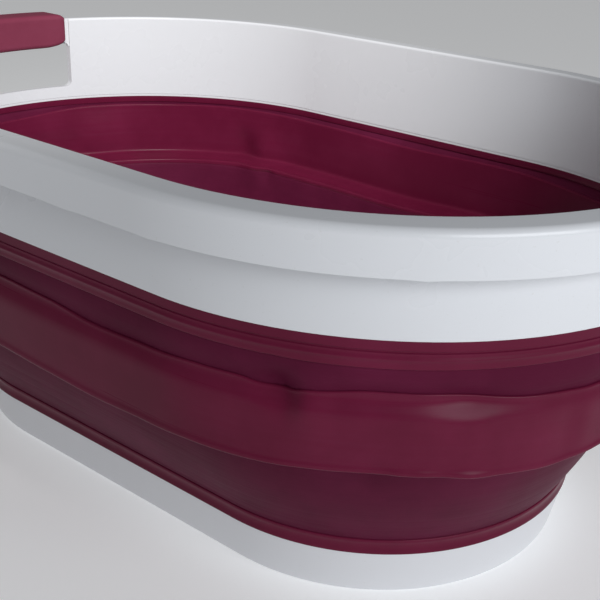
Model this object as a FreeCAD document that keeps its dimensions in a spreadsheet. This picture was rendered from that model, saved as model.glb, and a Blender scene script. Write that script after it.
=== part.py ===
import FreeCAD
import Part
import Sketcher
import math
import os

# Folding oval tub: a rigid rim collar, a soft wall in five tiers and a rigid base tray.
# Millimetres, +Z up, origin on the floor at the centre of the base, long axis along X.
# Every ring follows the same plan: two straight sides and two half-round ends.

doc = FreeCAD.newDocument("FoldingTub")
sheet = doc.addObject("Spreadsheet::Sheet", "Sizes")


class Dim:
    """A size with the spreadsheet expression that drives it."""

    def __init__(self, value, text):
        self.value = value
        self.text = text

    def __add__(self, other):
        other = as_dim(other)
        return Dim(self.value + other.value, "(" + self.text + " + " + other.text + ")")

    def __sub__(self, other):
        other = as_dim(other)
        return Dim(self.value - other.value, "(" + self.text + " - " + other.text + ")")

    def __mul__(self, factor):
        return Dim(self.value * factor, self.text + " * " + repr(factor))


def as_dim(item):
    if isinstance(item, Dim):
        return item
    return Dim(float(item), repr(float(item)))


def size(alias, value):
    """Writes one driving size to the next row of the sheet."""
    size.row += 1
    sheet.set("A%d" % size.row, alias)
    sheet.set("B%d" % size.row, str(value))
    sheet.setAlias("B%d" % size.row, alias)
    return Dim(float(value), "Sizes." + alias)


size.row = 0

# Plan and overall height
straight_half = size("straightHalf", 103.5)
rim_radius = size("rimRadius", 204.5)
rim_height = size("rimHeight", 252.0)

# Rim collar
wall_radius = size("wallRadius", 186.8)
wall_thick = size("wallThick", 4.2)
neck_thick = size("neckThick", 3.0)
rim_crown = size("rimCrown", 7.5)
rim_fall = size("rimFall", 0.8)
band_thick = size("bandThick", 2.5)
band_bottom = size("bandBottom", 228.2)
skirt_bottom = size("skirtBottom", 192.7)
tongue_thick = size("tongueThick", 1.8)
collar_bottom = size("collarBottom", 183.0)
rim_round = size("rimRound", 4.0)
inner_round = size("innerRound", 2.0)

# Hand openings and grips
opening_half = size("openingHalf", 68.2)
opening_bottom = size("openingBottom", 194.5)
opening_top = size("openingTop", 232.0)
opening_round = size("openingRound", 4.6)
grip_half_angle = size("gripHalfAngle", 21.5)
grip_thick = size("gripThick", 3.6)
grip_round = size("gripRound", 4.5)
grip_gap = size("gripGap", 0.6)
grip_half = size("gripHalf", 65.4)

# Soft wall, from the collar down
upper_flange_bottom = size("upperFlangeBottom", 177.7)
upper_flange_thick = size("upperFlangeThick", 3.2)
fold_thick = size("foldThick", 1.4)
middle_radius = size("middleRadius", 184.4)
middle_thick = size("middleThick", 4.5)
middle_top = size("middleTop", 167.2)
middle_bottom = size("middleBottom", 122.0)
fold_step = size("foldStep", 1.8)
band_taper = size("bandTaper", 0.7)
shelf_radius = size("shelfRadius", 161.6)
shelf_thick = size("shelfThick", 3.4)
shelf_drop = size("shelfDrop", 3.0)
lower_fold_top_radius = size("lowerFoldTopRadius", 163.2)
lower_flange_top = size("lowerFlangeTop", 41.2)
lower_flange_radius = size("lowerFlangeRadius", 133.4)

# Base tray
base_radius = size("baseRadius", 126.9)
base_top_radius = size("baseTopRadius", 133.0)
base_top = size("baseTop", 31.4)
base_wall = size("baseWall", 4.4)
base_tongue_top = size("baseTongueTop", 37.0)
foot_height = size("footHeight", 4.0)
floor_top = size("floorTop", 7.0)
base_round = size("baseRound", 3.0)
clearance = size("clearance", 0.3)

doc.recompute()


def origin_plane(body, role):
    for feature in body.Origin.OriginFeatures:
        if feature.Role == role:
            return feature
    raise RuntimeError("no " + role)


def new_sketch(body, name, role):
    """A sketch on one of the body's own origin planes."""
    sketch = body.newObject("Sketcher::SketchObject", name)
    sketch.AttachmentSupport = [(origin_plane(body, role), "")]
    sketch.MapMode = "FlatFace"
    doc.recompute()
    return sketch


def drive(sketch, constraint, dim):
    """Adds one constraint and binds it to its size."""
    index = sketch.addConstraint(constraint)
    sketch.setExpression("Constraints[%d]" % index, dim.text)


def draw_polygon(sketch, corners):
    """A closed outline whose corners are set from the sketch origin."""
    count = len(corners)
    points = [FreeCAD.Vector(x.value, y.value, 0) for x, y in corners]
    first = sketch.GeometryCount
    for i in range(count):
        sketch.addGeometry(Part.LineSegment(points[i], points[(i + 1) % count]), False)
    for i in range(count):
        after = first + (i + 1) % count
        sketch.addConstraint(Sketcher.Constraint("Coincident", first + i, 2, after, 1))
    for i in range(count):
        x, y = corners[i]
        line = first + i
        drive(sketch, Sketcher.Constraint("DistanceX", -1, 1, line, 1, x.value), x)
        drive(sketch, Sketcher.Constraint("DistanceY", -1, 1, line, 1, y.value), y)


def section_sketch(body, name, corners):
    """A wall section at the start of an end curve, radius across and height up."""
    sketch = new_sketch(body, name, "YZ_Plane")
    sketch.setExpression(".AttachmentOffset.Base.z", straight_half.text)
    draw_polygon(sketch, corners)
    doc.recompute()
    return sketch


def ring(label, corners):
    """A body that carries one wall section right round the plan."""
    body = doc.addObject("PartDesign::Body", label)
    sketch = section_sketch(body, label + "_section", corners)

    end = body.newObject("PartDesign::Revolution", label + "_end")
    end.Profile = sketch
    end.ReferenceAxis = (sketch, ["V_Axis"])
    end.Angle = 180.0
    end.Reversed = True
    doc.recompute()
    if end.Shape.BoundBox.XMax < straight_half.value + 1:
        end.Reversed = False

    side = body.newObject("PartDesign::Pad", label + "_side")
    side.Profile = sketch
    side.Reversed = True
    side.setExpression("Length", (straight_half * 2.0).text)
    doc.recompute()

    turn = body.newObject("PartDesign::PolarPattern", label + "_turn")
    turn.Originals = [end, side]
    turn.Axis = (origin_plane(body, "Z_Axis"), [""])
    turn.Angle = 360.0
    turn.Occurrences = 2
    body.Tip = turn
    doc.recompute()
    return body


def edges_at(shape, radius, height):
    """Names of the edges that run round the plan at this radius and height."""
    names = []
    for number, edge in enumerate(shape.Edges, 1):
        middle = edge.valueAt((edge.FirstParameter + edge.LastParameter) / 2)
        along = max(abs(middle.x) - straight_half.value, 0)
        here = math.hypot(along, middle.y)
        if edge.Length > 50 and abs(here - radius) < 0.2 and abs(middle.z - height) < 0.2:
            names.append("Edge%d" % number)
    return names


def round_edges(body, name, places, dim):
    """Fillets the edges found at each radius and height."""
    base = body.Tip
    names = []
    for radius, height in places:
        names += edges_at(base.Shape, radius.value, height.value)
    if not names:
        raise RuntimeError("no edges for " + name)
    fillet = body.newObject("PartDesign::Fillet", name)
    fillet.Base = (base, names)
    fillet.setExpression("Radius", dim.text)
    body.Tip = fillet
    doc.recompute()


def draw_round_box(sketch, left, right, low, high, corner):
    """A rectangle with round corners, symmetric left to right."""
    box = [(left, low, 180, 270), (right, low, 270, 360), (right, high, 0, 90), (left, high, 90, 180)]
    for x, y, start, stop in box:
        inward_x = corner.value if x is left else -corner.value
        inward_y = corner.value if y is low else -corner.value
        centre = FreeCAD.Vector(x.value + inward_x, y.value + inward_y, 0)
        circle = Part.Circle(centre, FreeCAD.Vector(0, 0, 1), corner.value)
        arc = Part.ArcOfCircle(circle, math.radians(start), math.radians(stop))
        sketch.addGeometry(arc, False)
    for i in range(4):
        after = (i + 1) % 4
        arc = sketch.Geometry[i]
        following = sketch.Geometry[after]
        line = sketch.addGeometry(Part.LineSegment(arc.EndPoint, following.StartPoint), False)
        sketch.addConstraint(Sketcher.Constraint("Tangent", i, 2, line, 1))
        sketch.addConstraint(Sketcher.Constraint("Tangent", line, 2, after, 1))
    for line in (4, 6):
        sketch.addConstraint(Sketcher.Constraint("Horizontal", line))
    for line in (5, 7):
        sketch.addConstraint(Sketcher.Constraint("Vertical", line))
    for i in (1, 2, 3):
        sketch.addConstraint(Sketcher.Constraint("Equal", 0, i))
    drive(sketch, Sketcher.Constraint("Radius", 0, corner.value), corner)
    drive(sketch, Sketcher.Constraint("DistanceX", -1, 1, 7, 1, left.value), left)
    drive(sketch, Sketcher.Constraint("DistanceX", -1, 1, 5, 1, right.value), right)
    drive(sketch, Sketcher.Constraint("DistanceY", -1, 1, 4, 1, low.value), low)
    drive(sketch, Sketcher.Constraint("DistanceY", -1, 1, 6, 1, high.value), high)


def end_axis_sketch(body, name, side):
    """A sketch through the centre of one end curve, radius across and height up."""
    sketch = new_sketch(body, name, "XZ_Plane")
    offset = straight_half * float(side)
    sketch.setExpression(".AttachmentOffset.Base.x", offset.text)
    doc.recompute()
    return sketch


def rim_collar():
    """Wall with a broad flat rim and its hanging band, a tongue for the soft wall, hand openings and bars."""
    wall_out = wall_radius + wall_thick
    band_in = rim_radius - band_thick
    tongue_out = wall_radius + tongue_thick
    neck_out = wall_radius + neck_thick
    crown_low = rim_height - rim_crown
    body = ring("rim_collar", [
        (wall_radius, collar_bottom),
        (tongue_out, collar_bottom),
        (tongue_out, skirt_bottom),
        (wall_out, skirt_bottom),
        (wall_out, band_bottom),
        (neck_out, band_bottom + 2.0),
        (neck_out, crown_low),
        (band_in, crown_low),
        (band_in, band_bottom),
        (rim_radius, band_bottom),
        (rim_radius, rim_height - rim_fall),
        (wall_radius, rim_height),
    ])
    round_edges(body, "rim_round", [(rim_radius, rim_height - rim_fall)], rim_round)
    round_edges(body, "inner_round", [(wall_radius, rim_height)], inner_round)

    opening = new_sketch(body, "opening_outline", "YZ_Plane")
    left = opening_half * -1.0
    draw_round_box(opening, left, opening_half, opening_bottom, opening_top, opening_round)
    doc.recompute()
    before = body.Tip.Shape.Volume
    cut = body.newObject("PartDesign::Pocket", "hand_openings")
    cut.Profile = opening
    cut.Type = 1
    cut.Midplane = True
    body.Tip = cut
    doc.recompute()
    if cut.Shape.Volume > before - 1000:
        raise RuntimeError("hand openings were not cut")

    for side in (-1, 1):
        bar = end_axis_sketch(body, "bar_section_%d" % (side + 1), side)
        near = (neck_out - 0.5) * float(side)
        far = (band_in + 0.5) * float(side)
        draw_polygon(bar, [
            (near, opening_top),
            (far, opening_top),
            (far, crown_low + 0.5),
            (near, crown_low + 0.5),
        ])
        doc.recompute()
        fill = body.newObject("PartDesign::Revolution", "bar_%d" % (side + 1))
        fill.Profile = bar
        fill.ReferenceAxis = (bar, ["V_Axis"])
        fill.Midplane = True
        fill.setExpression("Angle", (grip_half_angle * 2.0).text)
        body.Tip = fill
        doc.recompute()
    return body


def grip(label, side):
    """Soft sleeve round the rim bar over one hand opening."""
    body = doc.addObject("PartDesign::Body", label)
    inner = (wall_radius - grip_thick) * float(side)
    outer = (rim_radius + grip_thick) * float(side)
    low = opening_top - grip_thick
    high = rim_height + grip_thick
    sleeve = end_axis_sketch(body, label + "_outline", side)
    left, right = (inner, outer) if side > 0 else (outer, inner)
    draw_round_box(sleeve, left, right, low, high, grip_round)
    doc.recompute()
    whole = body.newObject("PartDesign::Revolution", label + "_sleeve")
    whole.Profile = sleeve
    whole.ReferenceAxis = (sleeve, ["V_Axis"])
    whole.Midplane = True
    whole.setExpression("Angle", (grip_half_angle * 2.0).text)
    doc.recompute()

    bore = end_axis_sketch(body, label + "_bore", side)
    near = (wall_radius - grip_gap) * float(side)
    far = (rim_radius + grip_gap) * float(side)
    draw_polygon(bore, [
        (near, opening_top - grip_gap),
        (far, opening_top - grip_gap),
        (far, rim_height + grip_gap),
        (near, rim_height + grip_gap),
    ])
    doc.recompute()
    before = whole.Shape.Volume
    hollow = body.newObject("PartDesign::Groove", label + "_hollow")
    hollow.Profile = bore
    hollow.ReferenceAxis = (bore, ["V_Axis"])
    hollow.Midplane = True
    hollow.setExpression("Angle", (grip_half_angle * 2.0 + 4.0).text)
    body.Tip = hollow
    doc.recompute()
    if hollow.Shape.Volume > before - 1000:
        raise RuntimeError(label + " was not hollowed")

    # both ends are cut off square to the length of the tub
    beyond = rim_radius
    for end in (-1, 1):
        trim = new_sketch(body, label + "_trim_%d" % (end + 1), "YZ_Plane")
        cut = grip_half * float(end)
        far = beyond * float(end)
        draw_polygon(trim, [(cut, low - 5.0), (far, low - 5.0), (far, high + 5.0), (cut, high + 5.0)])
        doc.recompute()
        before = body.Tip.Shape.Volume
        square = body.newObject("PartDesign::Pocket", label + "_end_%d" % (end + 1))
        square.Profile = trim
        square.Type = 1
        square.Midplane = True
        body.Tip = square
        doc.recompute()
        if square.Shape.Volume > before - 50:
            raise RuntimeError(label + " was not trimmed")
    return body


def upper_flange():
    """Thick soft lip moulded on the collar's tongue."""
    tongue_out = wall_radius + tongue_thick
    top_out = wall_radius + wall_thick - 0.8
    return ring("upper_flange", [
        (wall_radius, upper_flange_bottom),
        (wall_radius + upper_flange_thick, upper_flange_bottom),
        (top_out, skirt_bottom),
        (tongue_out, skirt_bottom),
        (tongue_out, collar_bottom),
        (wall_radius, collar_bottom),
    ])


def upper_fold():
    """Thin folding web between the upper flange and the middle band."""
    top_out = wall_radius + fold_thick + 0.6
    low_out = middle_radius - fold_step
    top = upper_flange_bottom - clearance
    return ring("upper_fold", [
        (low_out - fold_thick, middle_top),
        (low_out, middle_top),
        (top_out, top),
        (top_out - fold_thick, top),
    ])


def middle_band():
    """Thick soft band, the widest tier of the wall."""
    inside = middle_radius - middle_thick
    return ring("middle_band", [
        (inside - band_taper, middle_bottom),
        (middle_radius - band_taper, middle_bottom),
        (middle_radius, middle_top),
        (inside, middle_top),
    ])


def middle_ledge():
    """Ledge that steps in from the band's lower edge to the lower fold."""
    ledge_out = middle_radius - middle_thick - band_taper
    shelf_low = middle_bottom - shelf_drop
    return ring("middle_ledge", [
        (shelf_radius, shelf_low),
        (ledge_out, middle_bottom),
        (ledge_out, middle_bottom + shelf_thick),
        (shelf_radius, shelf_low + shelf_thick),
    ])


def lower_fold():
    """Thin folding web between the middle band and the lower flange."""
    low_out = lower_flange_radius - 0.8
    top = middle_bottom - shelf_drop - clearance
    return ring("lower_fold", [
        (low_out - fold_thick, lower_flange_top),
        (low_out, lower_flange_top),
        (lower_fold_top_radius, top),
        (lower_fold_top_radius - fold_thick, top),
    ])


def lower_flange():
    """Thick soft lip moulded on the base tray's tongue."""
    inside = base_top_radius - base_wall
    tongue_out = inside + tongue_thick
    return ring("lower_flange", [
        (tongue_out, base_top),
        (base_top_radius, base_top),
        (lower_flange_radius, lower_flange_top),
        (inside, lower_flange_top),
        (inside, base_tongue_top),
        (tongue_out, base_tongue_top),
    ])


def base_tray():
    """White band with a floor plate, standing on its lower rim."""
    top_in = base_top_radius - base_wall
    low_in = base_radius - base_wall
    tongue_out = top_in + tongue_thick
    body = ring("base_tray", [
        (base_radius, as_dim(0)),
        (base_top_radius, base_top),
        (tongue_out, base_top),
        (tongue_out, base_tongue_top),
        (top_in, base_tongue_top),
        (top_in, base_top),
        (low_in, floor_top),
        (low_in, as_dim(0)),
    ])
    plate = new_sketch(body, "floor_outline", "XY_Plane")
    floor_radius = low_in + 0.5
    points = [(-1, -1), (1, -1), (1, 1), (-1, 1)]
    x = straight_half.value
    r = floor_radius.value
    corner = [FreeCAD.Vector(a * x, b * r, 0) for a, b in points]
    plate.addGeometry(Part.LineSegment(corner[0], corner[1]), False)
    right = Part.Circle(FreeCAD.Vector(x, 0, 0), FreeCAD.Vector(0, 0, 1), r)
    plate.addGeometry(Part.ArcOfCircle(right, -math.pi / 2, math.pi / 2), False)
    plate.addGeometry(Part.LineSegment(corner[2], corner[3]), False)
    left = Part.Circle(FreeCAD.Vector(-x, 0, 0), FreeCAD.Vector(0, 0, 1), r)
    plate.addGeometry(Part.ArcOfCircle(left, math.pi / 2, 3 * math.pi / 2), False)
    for i in range(4):
        plate.addConstraint(Sketcher.Constraint("Tangent", i, 2, (i + 1) % 4, 1))
    plate.addConstraint(Sketcher.Constraint("Horizontal", 0))
    plate.addConstraint(Sketcher.Constraint("PointOnObject", 1, 3, -1))
    drive(plate, Sketcher.Constraint("DistanceX", -1, 1, 1, 3, x), straight_half)
    drive(plate, Sketcher.Constraint("DistanceX", 3, 3, -1, 1, x), straight_half)
    drive(plate, Sketcher.Constraint("Radius", 1, r), floor_radius)
    plate.setExpression(".AttachmentOffset.Base.z", foot_height.text)
    doc.recompute()
    floor = body.newObject("PartDesign::Pad", "floor_plate")
    floor.Profile = plate
    floor.setExpression("Length", (floor_top - foot_height).text)
    body.Tip = floor
    doc.recompute()
    round_edges(body, "base_round", [(base_radius, as_dim(0))], base_round)
    return body


parts = [
    base_tray(),
    lower_flange(),
    lower_fold(),
    middle_band(),
    middle_ledge(),
    upper_fold(),
    upper_flange(),
    rim_collar(),
    grip("grip_far", -1),
    grip("grip_near", 1),
]
doc.recompute()

for item in doc.Objects:
    if "Invalid" in item.State or "Error" in item.State:
        raise RuntimeError(item.Name + " " + str(item.State))
os.makedirs("parts", exist_ok=True)
for body in parts:
    shape = body.Shape
    if shape.isNull() or not shape.isValid() or len(shape.Solids) != 1:
        raise RuntimeError(body.Label + " is not one valid solid")
    shape.exportStep("parts/" + body.Label + ".step")
    box = shape.BoundBox
    print("%-14s %8.1f cm3  x %.1f..%.1f  y %.1f..%.1f  z %.1f..%.1f" % (
        body.Label, shape.Volume / 1000, box.XMin, box.XMax, box.YMin, box.YMax, box.ZMin, box.ZMax))
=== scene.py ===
import math
import bmesh
import bpy
from mathutils import Matrix, Vector


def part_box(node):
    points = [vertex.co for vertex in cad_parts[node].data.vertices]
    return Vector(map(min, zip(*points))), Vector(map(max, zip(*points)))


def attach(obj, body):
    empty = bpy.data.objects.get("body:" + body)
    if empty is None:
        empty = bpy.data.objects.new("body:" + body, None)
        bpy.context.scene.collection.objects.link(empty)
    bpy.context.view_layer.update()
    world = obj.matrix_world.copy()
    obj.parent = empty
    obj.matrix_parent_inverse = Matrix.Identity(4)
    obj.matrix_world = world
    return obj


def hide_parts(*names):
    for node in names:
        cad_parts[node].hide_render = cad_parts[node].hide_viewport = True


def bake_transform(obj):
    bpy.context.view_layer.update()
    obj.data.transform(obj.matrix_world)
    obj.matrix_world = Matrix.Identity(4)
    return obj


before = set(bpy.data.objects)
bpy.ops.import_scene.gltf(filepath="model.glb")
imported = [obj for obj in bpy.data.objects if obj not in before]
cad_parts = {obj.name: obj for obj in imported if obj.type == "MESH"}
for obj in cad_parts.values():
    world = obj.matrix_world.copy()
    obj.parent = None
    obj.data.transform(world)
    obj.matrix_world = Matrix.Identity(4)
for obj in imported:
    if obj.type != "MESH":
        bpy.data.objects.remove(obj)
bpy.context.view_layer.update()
print("frame loaded")

# Folding oval tub. Every ring runs round the same plan: two straight sides and two half-round ends.
collarLow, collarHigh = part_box("rim_collar")
plan = {
    "straight": collarHigh.x - collarHigh.y,  # half the length of a straight side
    "nominal": 0.184,                         # radius that distances along the wall are measured at
}


def planRadius(x, y):
    return math.hypot(max(abs(x) - plan["straight"], 0), y)


def reach(node):
    # inner and outer radius of a CAD ring
    found = [planRadius(v.co.x, v.co.y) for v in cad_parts[node].data.vertices]
    return min(found), max(found)


def along(x, y):
    # distance round the wall from the middle of the near side, towards +X, less than half a turn each way
    half, radius = plan["straight"], plan["nominal"]
    side = 1 if x >= 0 else -1
    past = abs(x) - half
    if past > 0:
        return side * (half + radius * (math.atan2(y, past) + math.pi / 2))
    if y < 0:
        return x
    return side * (2 * half + math.pi * radius - abs(x))


def ramp(low, high, value):
    t = min(max((value - low) / (high - low), 0), 1)
    return t * t * (3 - 2 * t)


# modelling helpers

def startFresh():
    if bpy.context.object and bpy.context.object.mode != "OBJECT":
        bpy.ops.object.mode_set(mode="OBJECT")
    bpy.ops.object.select_all(action="DESELECT")


def editOnly(piece):
    startFresh()
    piece.select_set(True)
    bpy.context.view_layer.objects.active = piece
    bpy.ops.object.mode_set(mode="EDIT")
    bpy.ops.mesh.select_mode(type="VERT")


def firstPoint(name, x, radius, height):
    # one vertex to draw a wall section from
    startFresh()
    bpy.ops.mesh.primitive_plane_add(size=0.002, location=(0, 0, 0))
    piece = bpy.context.object
    piece.name = name
    piece.data.name = name
    bpy.ops.object.mode_set(mode="EDIT")
    bpy.ops.mesh.select_mode(type="VERT")
    bpy.ops.mesh.select_all(action="SELECT")
    bpy.ops.mesh.merge(type="CENTER")
    bpy.ops.transform.translate(value=(x, radius, height))
    return piece


def drawSection(name, x, corners):
    piece = firstPoint(name, x, *corners[0])
    loop = corners[1:] + corners[:1]
    here = corners[0]
    for corner in loop:
        step = (0, corner[0] - here[0], corner[1] - here[1])
        bpy.ops.mesh.extrude_region_move(TRANSFORM_OT_translate={"value": step})
        here = corner
    bpy.ops.mesh.select_all(action="SELECT")
    bpy.ops.mesh.remove_doubles(threshold=1e-6)
    return piece


def closeUp():
    bpy.ops.mesh.select_all(action="SELECT")
    bpy.ops.mesh.remove_doubles(threshold=1e-5)
    bpy.ops.mesh.normals_make_consistent(inside=False)


def ovalRing(name, corners, endSteps, sideSteps):
    # the section is spun round each end and drawn out along each side
    half = plan["straight"]
    piece = drawSection(name, half, corners)
    for side in (1, -1):
        bpy.ops.mesh.spin(steps=endSteps, angle=math.pi, center=(side * half, 0, 0), axis=(0, 0, 1))
        for _ in range(sideSteps):
            step = (-side * 2 * half / sideSteps, 0, 0)
            bpy.ops.mesh.extrude_region_move(TRANSFORM_OT_translate={"value": step})
    closeUp()
    return piece


def pickEdges(piece, test):
    # selects the edges whose two ends both pass the test
    mesh = bmesh.from_edit_mesh(piece.data)
    bpy.ops.mesh.select_all(action="DESELECT")
    for edge in mesh.edges:
        if all(test(v.co) for v in edge.verts):
            edge.select_set(True)
    mesh.select_flush_mode()
    bmesh.update_edit_mesh(piece.data)


def roundRing(piece, radius, height, size, segments=3):
    # bevels the edge that runs round the plan at this radius and height
    bpy.ops.mesh.select_mode(type="EDGE")
    pickEdges(piece, lambda co: abs(planRadius(co.x, co.y) - radius) < 5e-5 and abs(co.z - height) < 5e-5)
    bpy.ops.mesh.bevel(offset=size, segments=segments, affect="EDGES", clamp_overlap=True)
    bpy.ops.mesh.select_mode(type="VERT")


def applyModifier(piece, kind, **settings):
    startFresh()
    piece.select_set(True)
    bpy.context.view_layer.objects.active = piece
    modifier = piece.modifiers.new(kind.lower(), kind)
    for key, value in settings.items():
        setattr(modifier, key, value)
    bpy.ops.object.modifier_apply(modifier=modifier.name)


def smoothOff(piece, angle=35, weighted=True):
    startFresh()
    piece.select_set(True)
    bpy.context.view_layer.objects.active = piece
    bpy.ops.object.shade_smooth_by_angle(angle=math.radians(angle))
    if weighted:
        applyModifier(piece, "WEIGHTED_NORMAL", mode="FACE_AREA", weight=50, keep_sharp=True)


def run(start, end, step, bow=0.0):
    # points from one corner towards the next, about a step apart, bowed outwards in the middle
    count = max(1, round(math.dist(start, end) / step))
    points = []
    for i in range(count):
        t = i / count
        radius = start[0] + (end[0] - start[0]) * t + bow * math.sin(math.pi * t)
        points.append((radius, start[1] + (end[1] - start[1]) * t))
    return points


def fineSection(corners, step):
    points = []
    for i, corner in enumerate(corners):
        points += run(corner, corners[(i + 1) % len(corners)], step)
    return points


# shared shader groups

def newGroup(name, inputs, outputs):
    group = bpy.data.node_groups.new(name, "ShaderNodeTree")
    for label, kind, value in inputs:
        socket = group.interface.new_socket(name=label, in_out="INPUT", socket_type=kind)
        socket.default_value = value
    for label, kind in outputs:
        group.interface.new_socket(name=label, in_out="OUTPUT", socket_type=kind)
    return group, group.nodes.new("NodeGroupInput"), group.nodes.new("NodeGroupOutput")


def noiseNode(tree, scale, detail, roughness=0.5):
    node = tree.nodes.new("ShaderNodeTexNoise")
    node.inputs["Scale"].default_value = scale
    node.inputs["Detail"].default_value = detail
    node.inputs["Roughness"].default_value = roughness
    return node


def rangeNode(tree, source, fromLow, fromHigh, toLow, toHigh):
    node = tree.nodes.new("ShaderNodeMapRange")
    labels = ("From Min", "From Max", "To Min", "To Max")
    for label, value in zip(labels, (fromLow, fromHigh, toLow, toHigh)):
        node.inputs[label].default_value = value
    tree.links.new(source, node.inputs["Value"])
    return node


def mathNode(tree, operation, first, second):
    node = tree.nodes.new("ShaderNodeMath")
    node.operation = operation
    for socket, value in zip(node.inputs, (first, second)):
        if isinstance(value, (int, float)):
            socket.default_value = value
        else:
            tree.links.new(value, socket)
    return node.outputs["Value"]


def makeGrainGroup():
    # fine moulded grain: a height for bump and a mask for gloss
    inputs = [("Vector", "NodeSocketVector", (0, 0, 0)), ("Size", "NodeSocketFloat", 900.0)]
    outputs = [("Height", "NodeSocketFloat"), ("Mask", "NodeSocketFloat")]
    group, source, result = newGroup("mouldedGrain", inputs, outputs)
    fine = noiseNode(group, 900, 3)
    broad = noiseNode(group, 60, 4, 0.6)
    group.links.new(source.outputs["Vector"], fine.inputs["Vector"])
    group.links.new(source.outputs["Size"], fine.inputs["Scale"])
    group.links.new(source.outputs["Vector"], broad.inputs["Vector"])
    mixed = mathNode(group, "MULTIPLY_ADD", fine.outputs["Fac"], 0.6)
    group.links.new(broad.outputs["Fac"], mixed.node.inputs[2])
    group.links.new(mixed, result.inputs["Height"])
    mask = rangeNode(group, broad.outputs["Fac"], 0.35, 0.65, 0, 1)
    group.links.new(mask.outputs["Result"], result.inputs["Mask"])
    return group


def makeStriationGroup():
    # faint lines drawn round the wall at even height, as the soft wall stretches
    inputs = [("Vector", "NodeSocketVector", (0, 0, 0)), ("Lines", "NodeSocketFloat", 900.0)]
    outputs = [("Height", "NodeSocketFloat"), ("Mask", "NodeSocketFloat")]
    group, source, result = newGroup("wallStriations", inputs, outputs)
    squeeze = group.nodes.new("ShaderNodeVectorMath")
    squeeze.operation = "MULTIPLY"
    scale = group.nodes.new("ShaderNodeCombineXYZ")
    scale.inputs["X"].default_value = 5
    scale.inputs["Y"].default_value = 5
    group.links.new(source.outputs["Lines"], scale.inputs["Z"])
    group.links.new(source.outputs["Vector"], squeeze.inputs[0])
    group.links.new(scale.outputs["Vector"], squeeze.inputs[1])
    lines = noiseNode(group, 1, 3, 0.6)
    group.links.new(squeeze.outputs["Vector"], lines.inputs["Vector"])
    group.links.new(lines.outputs["Fac"], result.inputs["Height"])
    mask = rangeNode(group, lines.outputs["Fac"], 0.42, 0.68, 0, 1)
    group.links.new(mask.outputs["Result"], result.inputs["Mask"])
    return group


def makeDustGroup():
    # handling marks and dust: broad soft patches broken up by fine specks
    inputs = [("Vector", "NodeSocketVector", (0, 0, 0)), ("Patch Size", "NodeSocketFloat", 14.0)]
    outputs = [("Mask", "NodeSocketFloat"), ("Specks", "NodeSocketFloat")]
    group, source, result = newGroup("handlingDust", inputs, outputs)
    patches = noiseNode(group, 14, 5, 0.62)
    group.links.new(source.outputs["Vector"], patches.inputs["Vector"])
    group.links.new(source.outputs["Patch Size"], patches.inputs["Scale"])
    soft = rangeNode(group, patches.outputs["Fac"], 0.4, 0.7, 0, 1)
    specks = noiseNode(group, 700, 2, 0.4)
    group.links.new(source.outputs["Vector"], specks.inputs["Vector"])
    points = rangeNode(group, specks.outputs["Fac"], 0.7, 0.78, 0, 1)
    group.links.new(soft.outputs["Result"], result.inputs["Mask"])
    group.links.new(points.outputs["Result"], result.inputs["Specks"])
    return group


grainGroup = makeGrainGroup()
striationGroup = makeStriationGroup()
dustGroup = makeDustGroup()


def newMaterial(name):
    material = bpy.data.materials.new(name)
    material.use_nodes = True
    tree = material.node_tree
    shader = tree.nodes["Principled BSDF"]
    place = tree.nodes.new("ShaderNodeTexCoord").outputs["Object"]
    return material, tree, shader, place


def useGroup(tree, group, place, **values):
    node = tree.nodes.new("ShaderNodeGroup")
    node.node_tree = group
    tree.links.new(place, node.inputs["Vector"])
    for label, value in values.items():
        node.inputs[label.replace("_", " ")].default_value = value
    return node


def mixColour(tree, factor, first, second):
    node = tree.nodes.new("ShaderNodeMix")
    node.data_type = "RGBA"
    tree.links.new(factor, node.inputs["Factor"])
    for socket, value in ((node.inputs["A"], first), (node.inputs["B"], second)):
        if isinstance(value, tuple):
            socket.default_value = (*value, 1)
        else:
            tree.links.new(value, socket)
    return node.outputs["Result"]


def addBump(tree, shader, height, strength, distance, under=None):
    node = tree.nodes.new("ShaderNodeBump")
    node.inputs["Strength"].default_value = strength
    node.inputs["Distance"].default_value = distance
    tree.links.new(height, node.inputs["Height"])
    if under is not None:
        tree.links.new(under, node.inputs["Normal"])
    tree.links.new(node.outputs["Normal"], shader.inputs["Normal"])
    return node.outputs["Normal"]


shellFinish = {
    "light": (0.80, 0.81, 0.84),
    "shade": (0.785, 0.795, 0.822),
    "speck": (0.66, 0.65, 0.64),
    "glossLow": 0.27,
    "glossHigh": 0.32,
    "grain": 1400.0,
    "patchSize": 5.0,
    "speckShare": 0.35,
    "bump": 0.12,
    "bumpDepth": 0.0001,
}


def makeShellPlastic():
    v = shellFinish
    material, tree, shader, place = newMaterial("whiteShellPlastic")
    grain = useGroup(tree, grainGroup, place, Size=v["grain"])
    dust = useGroup(tree, dustGroup, place, Patch_Size=v["patchSize"])
    colour = mixColour(tree, dust.outputs["Mask"], v["light"], v["shade"])
    faint = mathNode(tree, "MULTIPLY", dust.outputs["Specks"], v["speckShare"])
    colour = mixColour(tree, faint, colour, v["speck"])
    tree.links.new(colour, shader.inputs["Base Color"])
    gloss = rangeNode(tree, dust.outputs["Mask"], 0, 1, v["glossLow"], v["glossHigh"])
    tree.links.new(gloss.outputs["Result"], shader.inputs["Roughness"])
    addBump(tree, shader, grain.outputs["Height"], v["bump"], v["bumpDepth"])
    shader.inputs["IOR"].default_value = 1.49
    return material


rubberFinish = {
    "deep": (0.122, 0.0066, 0.0295),
    "warm": (0.152, 0.0095, 0.039),
    "bloom": (0.23, 0.060, 0.13),
    "grain": 1800.0,
    "patchSize": 16.0,
    "bump": 0.18,
    "bumpDepth": 0.00015,
    "lineStep": 0.0004,
}


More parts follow.
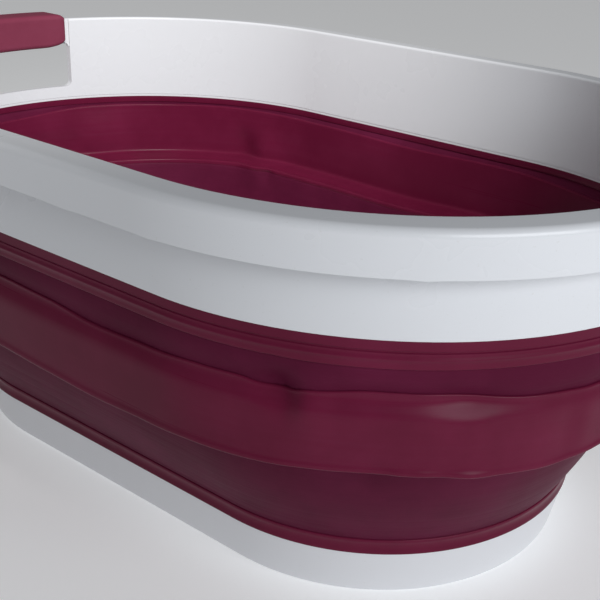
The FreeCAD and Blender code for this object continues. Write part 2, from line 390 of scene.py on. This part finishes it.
def makeRubber(name, bloomShare, shine, glossLow, glossHigh, lines, lineDepth, deep=None, warm=None):
    v = rubberFinish
    material, tree, shader, place = newMaterial(name)
    grain = useGroup(tree, grainGroup, place, Size=v["grain"])
    dust = useGroup(tree, dustGroup, place, Patch_Size=v["patchSize"])
    stretch = useGroup(tree, striationGroup, place, Lines=lines)
    colour = mixColour(tree, dust.outputs["Mask"], deep or v["deep"], warm or v["warm"])
    haze = mathNode(tree, "MULTIPLY", stretch.outputs["Mask"], dust.outputs["Mask"])
    haze = mathNode(tree, "MULTIPLY_ADD", haze, bloomShare)
    haze.node.inputs[2].default_value = bloomShare * 0.4
    colour = mixColour(tree, haze, colour, v["bloom"])
    tree.links.new(colour, shader.inputs["Base Color"])
    gloss = rangeNode(tree, stretch.outputs["Height"], 0.3, 0.7, glossLow, glossHigh)
    tree.links.new(gloss.outputs["Result"], shader.inputs["Roughness"])
    normal = addBump(tree, shader, stretch.outputs["Height"], lineDepth, v["lineStep"])
    addBump(tree, shader, grain.outputs["Height"], v["bump"], v["bumpDepth"], normal)
    shader.inputs["IOR"].default_value = 1.45
    shader.inputs["Specular IOR Level"].default_value = shine
    return material


shellPlastic = makeShellPlastic()
thickRubber = makeRubber("maroonThickRubber", 0.05, 0.15, 0.27, 0.36, 350.0, 0.08)
thinRubber = makeRubber(
    "maroonThinRubber", 0.05, 0.05, 0.42, 0.54, 900.0, 0.22, (0.090, 0.0072, 0.028), (0.118, 0.0100, 0.038))
# grip sleeves use the wall's maroon rubber with lighter, pinker colours: painted light for the light that
# falls on the grips
gripRubberPaintedLit = makeRubber(
    "maroonGripPaintedLight", 0.12, 0.15, 0.48, 0.60, 200.0, 0.08, (0.205, 0.034, 0.066), (0.235, 0.042, 0.078))
print("materials made")


def dress(piece, material, slotName, body, *nodes):
    piece.data.materials.clear()
    piece.data.materials.append(material)
    if body:
        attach(piece, body)
    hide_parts(*nodes)


# rim collar: wall, sloping rim, hand openings and their bars

wallInner, rimOuter = reach("rim_collar")
flangeLow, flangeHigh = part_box("upper_flange")
collar = {
    "wallOut": wallInner + 0.0042,
    "tongueOut": wallInner + 0.0018,
    "neckOut": wallInner + 0.003,
    "beadTop": collarLow.z + 0.0018,     # a shallow step just above the soft wall
    "beadStep": 0.00035,
    "skirtBottom": flangeHigh.z,
    "bandBottom": 0.2282,
    "bandIn": rimOuter - 0.0025,
    "rimFall": 0.0008,
    "crown": 0.0075,
    "rimRound": 0.004,
    "innerRound": 0.002,
    "openingHalf": 0.0682,
    "openingLow": 0.1945,
    "openingHigh": 0.232,
    "openingCorner": 0.0046,
    "barRecess": 0.0014,
    "edgeRound": 0.0006,
    "endSteps": 72,
    "sideSteps": 12,
    # place along the band edge, height
    "flash": [(0.052, 0.0005), (0.112, 0.0004), (0.231, 0.0005), (-0.03, 0.0004)],
}


def makeOpeningCutter(side):
    v = collar
    startFresh()
    height = v["openingHigh"] - v["openingLow"]
    place = (side * (plan["straight"] + wallInner), 0, v["openingLow"] + height / 2)
    bpy.ops.mesh.primitive_cube_add(size=1, location=place)
    cutter = bpy.context.object
    bpy.ops.object.mode_set(mode="EDIT")
    bpy.ops.transform.resize(value=(0.09, 2 * v["openingHalf"], height))
    bpy.ops.object.mode_set(mode="OBJECT")
    bpy.ops.object.transform_apply(location=True, rotation=True, scale=True)
    editOnly(cutter)
    bpy.ops.mesh.select_mode(type="EDGE")
    mesh = bmesh.from_edit_mesh(cutter.data)
    bpy.ops.mesh.select_all(action="DESELECT")
    for edge in mesh.edges:
        if abs(edge.verts[0].co.x - edge.verts[1].co.x) > 0.05:
            edge.select_set(True)
    bmesh.update_edit_mesh(cutter.data)
    bpy.ops.mesh.bevel(offset=v["openingCorner"], segments=8, affect="EDGES")
    closeUp()
    startFresh()
    return cutter


def makeRecessCutter(side):
    # takes the bar's inner face back a little, which leaves an upright line at each side of the opening
    v = collar
    low, high = v["openingHigh"] - 0.003, collarHigh.z + 0.004
    inner, outer = wallInner - 0.006, wallInner + v["barRecess"]
    sweep = math.asin(v["openingHalf"] / wallInner)
    corners = [(inner, low), (outer, low), (outer, high), (inner, high)]
    cutter = drawSection("recessCutter", 0, corners)
    bpy.ops.mesh.edge_face_add()
    bpy.ops.mesh.spin(steps=24, angle=2 * sweep, center=(0, 0, 0), axis=(0, 0, 1))
    closeUp()
    bpy.ops.object.mode_set(mode="OBJECT")
    turn = Matrix.Rotation(sweep - side * math.pi / 2, 4, "Z")
    cutter.data.transform(Matrix.Translation((side * plan["straight"], 0, 0)) @ turn)
    startFresh()
    return cutter


def cutAway(piece, cutter):
    applyModifier(piece, "BOOLEAN", operation="DIFFERENCE", solver="EXACT", object=cutter)
    bpy.data.objects.remove(cutter)


def makeCollar():
    v = collar
    top, low = collarHigh.z, collarLow.z
    corners = [
        (wallInner + v["beadStep"], low),
        (wallInner + v["beadStep"], v["beadTop"]),
        (wallInner, v["beadTop"] + 0.0003),
        (wallInner, top),
        (rimOuter, top - v["rimFall"]),
        (rimOuter, v["bandBottom"]),
        (v["bandIn"], v["bandBottom"]),
        (v["bandIn"], top - v["crown"]),
        (v["neckOut"], top - v["crown"]),
        (v["neckOut"], v["bandBottom"] + 0.002),
        (v["wallOut"], v["bandBottom"]),
        (v["wallOut"], v["skirtBottom"]),
        (v["tongueOut"], v["skirtBottom"]),
        (v["tongueOut"], low),
    ]
    piece = ovalRing("rim_collar_shell", corners, v["endSteps"], v["sideSteps"])
    roundRing(piece, rimOuter, top - v["rimFall"], v["rimRound"], 7)
    roundRing(piece, wallInner, top, v["innerRound"], 5)
    roundRing(piece, rimOuter, v["bandBottom"], 0.0006, 2)
    roundRing(piece, v["bandIn"], v["bandBottom"], 0.0005, 2)
    roundRing(piece, v["wallOut"], v["skirtBottom"], 0.0006, 2)
    for side in (-1, 1):
        startFresh()
        cutAway(piece, makeRecessCutter(side))
        cutAway(piece, makeOpeningCutter(side))
    roundOpenings(piece)
    raiseFlash(piece)
    smoothOff(piece, 32)
    dress(piece, shellPlastic, "white_shell", "collar", "rim_collar")
    return piece


def roundOpenings(piece):
    # eases the opening's lower and side edges where they meet the wall's two faces
    v = collar
    near = 2e-4
    editOnly(piece)
    bpy.ops.mesh.select_mode(type="EDGE")
    bpy.ops.mesh.select_all(action="SELECT")
    bpy.ops.mesh.remove_doubles(threshold=1e-6)
    mesh = bmesh.from_edit_mesh(piece.data)
    bpy.ops.mesh.select_all(action="DESELECT")
    for edge in mesh.edges:
        middle = (edge.verts[0].co + edge.verts[1].co) / 2
        onEnd = abs(middle.x) > plan["straight"] + 0.15
        inside = abs(middle.y) < v["openingHalf"] + near
        inside = inside and v["openingLow"] - near < middle.z < v["openingHigh"] - 0.004
        radii = [planRadius(corner.co.x, corner.co.y) for corner in edge.verts]
        onFace = min(abs(radius - face) for radius in radii for face in (wallInner, v["wallOut"])) < near
        sharp = len(edge.link_faces) == 2 and edge.calc_face_angle() > math.radians(50)
        if onEnd and inside and onFace and sharp:
            edge.select_set(True)
    bmesh.update_edit_mesh(piece.data)
    bpy.ops.mesh.bevel(offset=v["edgeRound"], segments=2, affect="EDGES", clamp_overlap=True)
    bpy.ops.object.mode_set(mode="OBJECT")


def raiseFlash(piece):
    # small moulding flash on the band's lower edge
    v = collar
    for vertex in piece.data.vertices:
        co = vertex.co
        if planRadius(co.x, co.y) > v["bandIn"] - 1e-4 and abs(co.z - v["bandBottom"]) < 0.001:
            for place, height in v["flash"]:
                if abs(along(co.x, co.y) - place) < 0.003:
                    co.z -= height


collarShell = makeCollar()
print("collar made", len(collarShell.data.polygons), "faces")


# grips: soft sleeves round the two bars

gripLow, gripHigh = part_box("grip_near")
gripInner, gripOuter = reach("grip_near")
grip = {
    "halfLength": gripHigh.y - 0.0018,
    "halfAngle": math.asin((gripHigh.y - 0.0018) / gripOuter),
    "steps": 56,
    "row": 0.0034,
    "corner": 0.0050,
    "endRound": 0.0050,     # length over which the ends draw in
    "endDraw": 0.16,        # share of the section lost at the very end
    "underDraw": 0.0035,    # how far the underside rises towards each end
    "underRun": 0.017,
    "crown": 0.0006,
    "seam": 0.0005,
}


def makeGripFar():
    v = grip
    low, high = gripLow.z, gripHigh.z
    corners = [(gripInner, low), (gripInner, high), (gripOuter, high), (gripOuter, low)]
    corners = fineSection(corners, v["row"])
    piece = drawSection("grip_far_sleeve", 0, corners)
    bpy.ops.mesh.spin(steps=v["steps"], angle=2 * v["halfAngle"], center=(0, 0, 0), axis=(0, 0, 1))
    # both ends are closed with a face and inset towards the bar
    mesh = bmesh.from_edit_mesh(piece.data)
    openEdges = [e for e in mesh.edges if len(e.link_faces) == 1]
    bpy.ops.mesh.select_all(action="DESELECT")
    for edge in openEdges:
        edge.select_set(True)
    bmesh.update_edit_mesh(piece.data)
    bpy.ops.mesh.edge_face_add()
    closeUp()
    bpy.ops.mesh.select_mode(type="FACE")
    mesh = bmesh.from_edit_mesh(piece.data)
    bpy.ops.mesh.select_all(action="DESELECT")
    for face in mesh.faces:
        if len(face.verts) > 4:
            face.select_set(True)
    bmesh.update_edit_mesh(piece.data)
    bpy.ops.mesh.inset(thickness=0.0012, use_individual=True)
    bpy.ops.mesh.select_mode(type="EDGE")
    for radius in (gripInner, gripOuter):
        for height in (gripLow.z, gripHigh.z):
            roundRingHere(piece, radius, height, v["corner"])
    bpy.ops.object.mode_set(mode="OBJECT")
    shapeGrip(piece)
    turn = Matrix.Rotation(v["halfAngle"] + math.pi / 2, 4, "Z")
    piece.data.transform(Matrix.Translation((-plan["straight"], 0, 0)) @ turn)
    applyModifier(piece, "SUBSURF", levels=1, render_levels=1)
    smoothOff(piece, 60, weighted=False)
    return piece


def roundRingHere(piece, radius, height, size):
    # as roundRing, for a sleeve that is still centred on the origin
    pickEdges(piece, lambda co: abs(math.hypot(co.x, co.y) - radius) < 5e-5 and abs(co.z - height) < 5e-5)
    bpy.ops.mesh.bevel(offset=size, segments=4, affect="EDGES", clamp_overlap=True)


def shapeGrip(piece):
    # ends draw in towards the bar, and a faint parting seam runs along the underside
    v = grip
    middleRadius = (gripInner + gripOuter) / 2
    middleHeight = (gripLow.z + gripHigh.z) / 2
    for vertex in piece.data.vertices:
        co = vertex.co
        angle = math.atan2(co.x, co.y) - v["halfAngle"]
        fromEnd = (v["halfAngle"] - abs(angle)) * middleRadius
        t = min(max(1 - fromEnd / v["endRound"], 0), 1)
        draw = 1 - v["endDraw"] * (1 - math.sqrt(max(1 - t * t, 0)))
        radius = math.hypot(co.x, co.y)
        newRadius = middleRadius + (radius - middleRadius) * draw
        flat = (1 - ((radius - middleRadius) / (gripOuter - middleRadius)) ** 2)
        co.z = middleHeight + (co.z - middleHeight) * draw
        if co.z > middleHeight:
            co.z += v["crown"] * max(flat, 0) * math.cos(angle / v["halfAngle"] * math.pi / 2)
        else:
            if abs(radius - middleRadius) < 0.0012:
                co.z += v["seam"]
            rise = max(1 - fromEnd / v["underRun"], 0)
            co.z += v["underDraw"] * rise * rise * (middleHeight - co.z) / (middleHeight - gripLow.z)
        # the ends are square to the tub, so the sleeve is longer in angle on its inner side
        reachHere = math.asin(v["halfLength"] / radius) / v["halfAngle"]
        turned = v["halfAngle"] + angle * reachHere
        co.x = newRadius * math.sin(turned)
        co.y = newRadius * math.cos(turned)


gripFar = makeGripFar()
gripNear = gripFar.copy()
gripNear.data = gripFar.data.copy()
gripNear.name = "grip_near_sleeve"
bpy.context.scene.collection.objects.link(gripNear)
gripNear.data.transform(Matrix.Rotation(math.pi, 4, "Z"))
dress(gripFar, gripRubberPaintedLit, "grip_soft", "collar", "grip_far")
dress(gripNear, gripRubberPaintedLit, "grip_soft", "collar", "grip_near")
print("grips made")


# base tray

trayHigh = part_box("base_tray")[1]
trayOuter = reach("base_tray")[1]
tray = {
    "footRadius": 0.1269,
    "wall": 0.0044,
    "shoulder": 0.0314,
    "tongue": 0.0018,
    "floorTop": 0.007,
    "floorUnder": 0.004,
    "footRound": 0.003,
    "panelInset": 0.022,
    "panelDrop": 0.0009,
}


def dropLooseEdges(piece):
    # edges that no face uses any more
    bpy.ops.mesh.select_mode(type="EDGE")
    mesh = bmesh.from_edit_mesh(piece.data)
    bpy.ops.mesh.select_all(action="DESELECT")
    for edge in mesh.edges:
        if not edge.link_faces:
            edge.select_set(True)
    bmesh.update_edit_mesh(piece.data)
    bpy.ops.mesh.delete(type="EDGE")


def makeTray():
    v = tray
    inner, tongueOut = trayOuter - v["wall"], trayOuter - v["wall"] + v["tongue"]
    footIn = v["footRadius"] - v["wall"]
    slope = (trayOuter - v["footRadius"]) / v["shoulder"]
    corners = [
        (v["footRadius"], 0),
        (trayOuter, v["shoulder"]),
        (tongueOut, v["shoulder"]),
        (tongueOut, trayHigh.z),
        (inner, trayHigh.z),
        (inner, v["shoulder"]),
        (footIn + slope * v["floorTop"], v["floorTop"]),
        (footIn, v["floorUnder"]),
        (footIn, 0),
    ]
    piece = ovalRing("base_tray_shell", corners, 64, 10)
    # the floor closes the ring: the strip between floor top and underside opens into two loops
    bpy.ops.mesh.select_mode(type="FACE")
    mesh = bmesh.from_edit_mesh(piece.data)
    bpy.ops.mesh.select_all(action="DESELECT")
    for face in mesh.faces:
        middle = face.calc_center_median()
        if v["floorUnder"] < middle.z < v["floorTop"] and planRadius(middle.x, middle.y) < footIn + 0.002:
            face.select_set(True)
    bmesh.update_edit_mesh(piece.data)
    bpy.ops.mesh.delete(type="ONLY_FACE")
    dropLooseEdges(piece)
    bpy.ops.mesh.select_mode(type="EDGE")
    for height in (v["floorTop"], v["floorUnder"]):
        pickEdges(piece, lambda co: abs(co.z - height) < 1e-5 and planRadius(co.x, co.y) < footIn + 0.002)
        bpy.ops.mesh.edge_face_add()
    # a shallow panel is set into the floor
    bpy.ops.mesh.select_mode(type="FACE")
    mesh = bmesh.from_edit_mesh(piece.data)
    bpy.ops.mesh.select_all(action="DESELECT")
    for face in mesh.faces:
        if len(face.verts) > 20 and abs(face.calc_center_median().z - v["floorTop"]) < 1e-4:
            face.select_set(True)
    bmesh.update_edit_mesh(piece.data)
    bpy.ops.mesh.inset(thickness=0.004)
    bpy.ops.mesh.inset(thickness=v["panelInset"])
    bpy.ops.mesh.inset(thickness=0.002)
    bpy.ops.transform.translate(value=(0, 0, -v["panelDrop"]))
    bpy.ops.mesh.inset(thickness=0.003)
    closeUp()
    roundRing(piece, v["footRadius"], 0, v["footRound"], 4)
    roundRing(piece, footIn, 0, 0.001, 2)
    roundRing(piece, trayOuter, v["shoulder"], 0.0005, 2)
    smoothOff(piece, 32)
    dress(piece, shellPlastic, "white_shell", "base", "base_tray")
    return piece


makeTray()
print("tray made")


# soft wall: five tiers that share one sag, so that their edges always meet

foldLow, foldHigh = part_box("lower_fold")
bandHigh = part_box("middle_band")[1]
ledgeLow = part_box("middle_ledge")[0]
webLow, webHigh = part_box("upper_fold")
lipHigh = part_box("lower_flange")[1]
bandOuter = reach("middle_band")[1]
shelfInner = reach("middle_ledge")[0]
sag = {
    "leanY": 0.041,            # the plane that the band's top edge lies nearest to
    "leanX": -0.0098,
    "belly": 0.0052,           # how far the band swells below its top edge
    "heldBelly": 0.0012,       # and where the fold holds it in
    "holdAbove": 0.1605,
    "waveHeight": 0.0006,
    "waveOut": 0.0007,
    "endSteps": 110,
    "sideSteps": 40,
    "row": 0.003,
}

# place along the wall, then how far the band's top edge and its ledge hang below or stand above even height
hang = [
    (-0.640, 0.0088, 0.0092),
    (-0.560, 0.0104, 0.0098),
    (-0.480, 0.0096, 0.0080),
    (-0.400, 0.0050, 0.0045),
    (-0.300, 0.0000, 0.0010),
    (-0.200, -0.0040, -0.0025),
    (-0.110, -0.0052, -0.0034),
    (-0.040, -0.0054, -0.0040),
    (0.010, -0.0068, -0.0058),
    (0.050, -0.0090, -0.0064),
    (0.095, -0.0080, -0.0050),
    (0.127, -0.0062, -0.0036),
    (0.148, -0.0058, -0.0033),
    (0.162, -0.0086, -0.0030),
    (0.1755, -0.0092, -0.0027),
    (0.1805, -0.0058, -0.0026),
    (0.194, -0.0061, -0.0025),
    (0.212, -0.0050, -0.0024),
    (0.241, -0.0057, -0.0030),
    (0.262, -0.0066, -0.0034),
    (0.300, -0.0080, -0.0032),
    (0.325, -0.0088, -0.0008),
    (0.350, -0.0080, 0.0022),
    (0.400, -0.0040, 0.0040),
    (0.500, 0.0010, 0.0044),
    (0.600, 0.0045, 0.0064),
    (0.700, 0.0072, 0.0085),
]

# place along the wall, height, half width, half height, movement outwards (minus is a dent)
dents = [
    (0.183, 0.156, 0.011, 0.014, 0.0031),      # ridge beside the near dent
    (0.168, 0.160, 0.009, 0.010, -0.0046),     # near dent in the band's top edge
    (0.1745, 0.154, 0.005, 0.011, -0.0030),
    (0.150, 0.150, 0.030, 0.024, -0.0012),
    (0.259, 0.159, 0.013, 0.009, -0.0025),     # leaning patch under the top edge
    (0.262, 0.139, 0.012, 0.010, 0.0007),
    (0.264, 0.120, 0.010, 0.005, 0.0021),
    (0.241, 0.120, 0.005, 0.005, 0.0014),      # puckers on the lower edge
    (0.231, 0.120, 0.004, 0.005, 0.0012),
    (0.315, 0.140, 0.006, 0.016, -0.0010),     # soft upright crease
    (0.323, 0.142, 0.008, 0.020, 0.0009),
    (0.300, 0.163, 0.025, 0.006, 0.0010),
    (-0.636, 0.140, 0.013, 0.018, -0.0036),    # inward ridge on the far side
    (-0.618, 0.144, 0.010, 0.014, 0.0026),
    (-0.651, 0.127, 0.006, 0.006, 0.0030),
    (-0.481, 0.150, 0.020, 0.020, -0.0022),    # hollow in the far left end
    (-0.455, 0.140, 0.018, 0.014, 0.0016),
    (0.108, 0.1135, 0.0022, 0.0016, 0.0006),   # nick on the band's lower edge
    (0.0, 0.0345, 0.003, 0.0016, 0.0007),      # bump on the lower lip
]


def hangHere(place):
    # smooth curve through the hang list, which runs round without an end
    loop = 4 * plan["straight"] + 2 * math.pi * plan["nominal"]
    before, after = (hang[-1][0] - loop, *hang[-1][1:]), (hang[0][0] + loop, *hang[0][1:])
    stops = [before] + hang + [after]
    for i in range(len(stops) - 1):
        if place <= stops[i + 1][0]:
            break
    start, end = stops[i], stops[i + 1]
    t = ramp(start[0], end[0], place)
    return tuple(a + (b - a) * t for a, b in zip(start[1:], end[1:]))


def lift(place, height):
    # how far the soft wall is moved up at this place and height
    atTop, atLedge = hangHere(place)
    if height < ledgeLow.z:
        return atLedge * max((height - lipHigh.z) / (ledgeLow.z - lipHigh.z), 0)
    if height > bandHigh.z:
        return atTop * max((flangeLow.z - height) / (flangeLow.z - bandHigh.z), 0)
    return atLedge + (atTop - atLedge) * (height - ledgeLow.z) / (bandHigh.z - ledgeLow.z)


def wallShare(height):
    # share of the band's swelling that reaches this height
    if height < ledgeLow.z:
        return max((height - lipHigh.z) / (ledgeLow.z - lipHigh.z), 0)
    if height > bandHigh.z:
        return max((flangeLow.z - height) / (flangeLow.z - bandHigh.z), 0)
    return 1


def sagPoint(co):
    v = sag
    share = wallShare(co.z)
    radius = planRadius(co.x, co.y)
    past = co.x - math.copysign(min(abs(co.x), plan["straight"]), co.x)
    outX, outY = past / radius, co.y / radius
    place = along(co.x, co.y)
    turns = place / (4 * plan["straight"] + 2 * math.pi * plan["nominal"]) * 2 * math.pi
    height = co.z + lift(place, co.z)
    height += share * v["waveHeight"] * (math.sin(7 * turns + 1.0) + 0.6 * math.sin(13 * turns + 2.2))
    held = ramp(v["holdAbove"] - 0.012, v["holdAbove"], height)
    nearness = ramp(0.12, -0.16, co.y) * 0.75 + 0.25
    out = share * (v["belly"] * nearness * (1 - held) + v["heldBelly"] * held)
    if radius < bandOuter - 0.012:
        out *= 0.5
    out += share * v["waveOut"] * (math.sin(5 * turns + 0.4) + 0.5 * math.sin(11 * turns + 1.7))
    for dentPlace, dentHeight, wide, tall, move in dents:
        across, up = (place - dentPlace) / wide, (height - dentHeight) / tall
        if abs(across) < 3 and abs(up) < 3:
            out += move * math.exp(-across * across - up * up)
    co.x += outX * out
    co.y += outY * out
    co.z = height


def finishSoft(piece, material, slotName, body, nodes, level=1):
    startFresh()
    for vertex in piece.data.vertices:
        sagPoint(vertex.co)
    if level:
        applyModifier(piece, "SUBSURF", levels=level, render_levels=level)
    smoothOff(piece, 50, weighted=False)
    dress(piece, material, slotName, body, *nodes)
    return piece


def softRing(name, corners, rounds):
    piece = ovalRing(name, corners, sag["endSteps"], sag["sideSteps"])
    for radius, height, size in rounds:
        roundRing(piece, radius, height, size, 3)
    return piece


band = {
    "thick": 0.0045,
    "draft": 0.0007,
    "bottom": 0.122,
    "shelfThick": 0.0034,
    "edgeRound": 0.0009,
    "lipOut": 0.0007,
    "lipTall": 0.0022,
}


def makeBand():
    v = band
    top, bottom = bandHigh.z, v["bottom"]
    inside = bandOuter - v["thick"]
    lowOut = bandOuter - v["draft"]
    corners = run((lowOut + v["lipOut"], bottom), (lowOut + v["lipOut"], bottom + v["lipTall"]), 0.0012)
    corners += run((lowOut + v["lipOut"], bottom + v["lipTall"]), (lowOut, bottom + 2 * v["lipTall"]), 0.0012)
    corners += run((lowOut, bottom + 2 * v["lipTall"]), (bandOuter - 0.0004, top - v["lipTall"]), sag["row"])
    corners += run((bandOuter - 0.0004, top - v["lipTall"]), (bandOuter, top - 0.0011), 0.001)
    corners += run((bandOuter, top - 0.0011), (bandOuter, top), 0.001)
    corners += run((bandOuter, top), (inside, top), 0.0015)
    corners += run((inside, top), (inside - v["draft"], bottom + v["shelfThick"]), sag["row"])
    shelfTop = ledgeLow.z + v["shelfThick"]
    corners += run((inside - v["draft"], bottom + v["shelfThick"]), (shelfInner + 0.003, shelfTop), 0.004)
    corners += run((shelfInner + 0.003, shelfTop), (shelfInner + 0.0015, shelfTop + 0.0009), 0.002)
    corners += run((shelfInner + 0.0015, shelfTop + 0.0009), (shelfInner, shelfTop), 0.002)
    corners += run((shelfInner, shelfTop), (shelfInner, ledgeLow.z), 0.0017)
    corners += run((shelfInner, ledgeLow.z), (lowOut + v["lipOut"], bottom), 0.004)
    rounds = [
        (bandOuter, top, v["edgeRound"]),
        (inside, top, v["edgeRound"]),
        (lowOut + v["lipOut"], bottom, v["edgeRound"]),
        (shelfInner, ledgeLow.z, 0.0006),
    ]
    piece = softRing("middle_band_soft", corners, rounds)
    return finishSoft(piece, thickRubber, "maroon_thick", "band", ["middle_band", "middle_ledge"])


web = {
    "thick": 0.0014,
    "tuck": 0.0009,      # how far each edge is buried in its neighbour
    "bow": 0.0018,
    "fineRow": 0.0012,   # rows of the upper web, closer than the rest of the wall
    "blendLift": 0.0030,
    "blendRun": 0.0026,
}


def foldSection(low, high, bow, row):
    # closed section of a thin web: outer face down, inner face up
    v = web
    outer = run(high, low, row, bow) + [low]
    inner = [(radius - v["thick"], height) for radius, height in reversed(outer)]
    return outer + inner


def makeUpperFold():
    v = web
    low = (bandOuter - 0.0018, webLow.z - v["tuck"])
    high = (wallInner + v["thick"] + 0.0006, webHigh.z + 0.0003 + v["tuck"])
    piece = softRing("upper_fold_web", foldSection(low, high, v["bow"], v["fineRow"]), [])
    return finishSoft(piece, thinRubber, "maroon_thin", None, ["upper_fold"], 0)


lowerWeb = {
    "lowRadius": 0.1326,
    "highRadius": 0.1632,
    "bow": 0.0036,
    "blendTop": 0.108,
}


def makeLowerFold():
    v = lowerWeb
    low = (v["lowRadius"], foldLow.z - web["tuck"])
    high = (v["highRadius"], foldHigh.z + 0.0003 + web["tuck"])
    piece = softRing("lower_fold_web", foldSection(low, high, v["bow"], sag["row"]), [])
    return finishSoft(piece, thinRubber, "maroon_thin", None, ["lower_fold"])


lip = {
    "ridge": 0.0008,
    "ridgeHeight": 0.1832,
    "groove": 0.0030,        # how far the groove lies above the ridge
    "grooveDepth": 0.0006,
    "edgeRound": 0.0008,
}


def makeUpperFlange():
    v = lip
    bottom, top = flangeLow.z, flangeHigh.z
    outTop = collar["wallOut"] - 0.0008
    outLow = wallInner + 0.0032
    mid = v["ridgeHeight"]
    corners = [
        (wallInner, bottom),
        (outLow, bottom),
        (outLow, bottom + 0.0022),
        (outLow, mid - 0.0011),
        (outLow + v["ridge"], mid - 0.0003),
        (outLow + v["ridge"], mid + 0.0004),
        (outTop, mid + 0.0012),
        (outTop, mid + v["groove"]),
        (outTop - v["grooveDepth"], mid + v["groove"] + 0.0004),
        (outTop - v["grooveDepth"], mid + v["groove"] + 0.0010),
        (outTop, mid + v["groove"] + 0.0014),
        (outTop, top),
        (collar["tongueOut"], top),
        (collar["tongueOut"], collarLow.z),
        (wallInner, collarLow.z),
    ]
    rounds = [(outLow, bottom, v["edgeRound"]), (wallInner, bottom, 0.0006)]
    piece = softRing("upper_flange_soft", corners, rounds)
    return finishSoft(piece, thickRubber, "maroon_thick", "collar", ["upper_flange"], 0)


def makeLowerFlange():
    inside = trayOuter - tray["wall"]
    tongueOut = inside + tray["tongue"]
    top = lipHigh.z
    outTop = reach("lower_flange")[1]
    corners = [
        (tongueOut, tray["shoulder"]),
        (trayOuter + 0.0003, tray["shoulder"]),
        (trayOuter + 0.0004, tray["shoulder"] + 0.0016),
        (trayOuter, tray["shoulder"] + 0.0024),
        (outTop - 0.0002, top - 0.0026),
        (outTop + 0.0003, top - 0.0018),
        (outTop + 0.0002, top),
        (inside, top),
        (inside, trayHigh.z),
        (tongueOut, trayHigh.z),
    ]
    piece = softRing("lower_flange_soft", corners, [(outTop + 0.0002, top, 0.0007), (inside, top, 0.0007)])
    return finishSoft(piece, thickRubber, "maroon_thick", "base", ["lower_flange"], 0)


makeBand()
upperFold = makeUpperFold()
lowerFold = makeLowerFold()
makeUpperFlange()
makeLowerFlange()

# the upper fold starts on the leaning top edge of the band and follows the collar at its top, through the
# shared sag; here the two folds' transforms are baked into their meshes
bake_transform(upperFold)
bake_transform(lowerFold)
print("soft wall made")


# stage, light and camera

stage = {
    "floor": 14.0,
    "floorColour": (0.86, 0.87, 0.88),
    "floorGlow": 0.27,
    "sky": (0.95, 0.97, 1.0),
    "skyStrength": 0.17,
    "keyPower": 12.8,
    "keyPlace": (1.49, -0.40, 0.84),
    "keySize": (1.0, 0.7),
    "keyColour": (0.94, 0.97, 1.0),
    "keyAim": (0, 0, 0.15),
    "spotPower": 23.0,
    "spotColour": (1.0, 0.99, 0.97),
    "spotSoft": 0.08,
    "spotPlace": (0.25, -0.30, 0.80),
    "spotAim": (-0.22, 0.15, 0.2),
    "spotAngle": 54,
}


def makeFloor():
    startFresh()
    bpy.ops.mesh.primitive_plane_add(size=stage["floor"], location=(0, 0, -0.0004))
    floor = bpy.context.object
    floor.name = "floor"
    material, tree, shader, place = newMaterial("paleFloor")
    patches = noiseNode(tree, 3, 3)
    tree.links.new(place, patches.inputs["Vector"])
    shade = tuple(c * 0.985 for c in stage["floorColour"])
    colour = mixColour(tree, patches.outputs["Fac"], stage["floorColour"], shade)
    tree.links.new(colour, shader.inputs["Base Color"])
    shader.inputs["Roughness"].default_value = 0.85
    shader.inputs["Emission Color"].default_value = (1, 1, 1, 1)
    shader.inputs["Emission Strength"].default_value = stage["floorGlow"]
    floor.data.materials.append(material)


def makeLight(name, kind, place, power, colour, aim):
    data = bpy.data.lights.new(name, kind)
    data.energy = power
    data.color = colour
    light = bpy.data.objects.new(name, data)
    bpy.context.scene.collection.objects.link(light)
    light.location = place
    light.rotation_euler = (Vector(aim) - Vector(place)).to_track_quat("-Z", "Y").to_euler()
    return data


def makeLights():
    v = stage
    window = makeLight("window", "AREA", v["keyPlace"], v["keyPower"], v["keyColour"], v["keyAim"])
    window.shape = "RECTANGLE"
    window.size, window.size_y = v["keySize"]
    overhead = makeLight("overhead", "SPOT", v["spotPlace"], v["spotPower"], v["spotColour"], v["spotAim"])
    overhead.spot_size = math.radians(v["spotAngle"])
    overhead.spot_blend = 1.0
    overhead.shadow_soft_size = v["spotSoft"]


def makeSky():
    world = bpy.data.worlds.new("studio")
    bpy.context.scene.world = world
    world.use_nodes = True
    background = world.node_tree.nodes["Background"]
    background.inputs["Color"].default_value = (*stage["sky"], 1)
    background.inputs["Strength"].default_value = stage["skyStrength"]


view = {
    "place": (0.44888, -0.50899, 0.39774),
    "heading": 38.71,
    "down": 23.81,
    "roll": 2.15,
    "lens": 62.58,
}


def makeCamera():
    v = view
    data = bpy.data.cameras.new("camera")
    data.lens = v["lens"]
    data.sensor_width = 36
    data.clip_start = 0.01
    camera = bpy.data.objects.new("camera", data)
    bpy.context.scene.collection.objects.link(camera)
    camera.location = v["place"]
    turn = Matrix.Rotation(math.radians(v["heading"]), 3, "Z")
    turn = turn @ Matrix.Rotation(math.radians(90 - v["down"]), 3, "X")
    turn = turn @ Matrix.Rotation(math.radians(v["roll"]), 3, "Z")
    camera.rotation_euler = turn.to_euler()
    bpy.context.scene.camera = camera


makeFloor()
makeLights()
makeSky()
makeCamera()
bpy.context.scene.view_settings.view_transform = "Standard"
print("stage set")
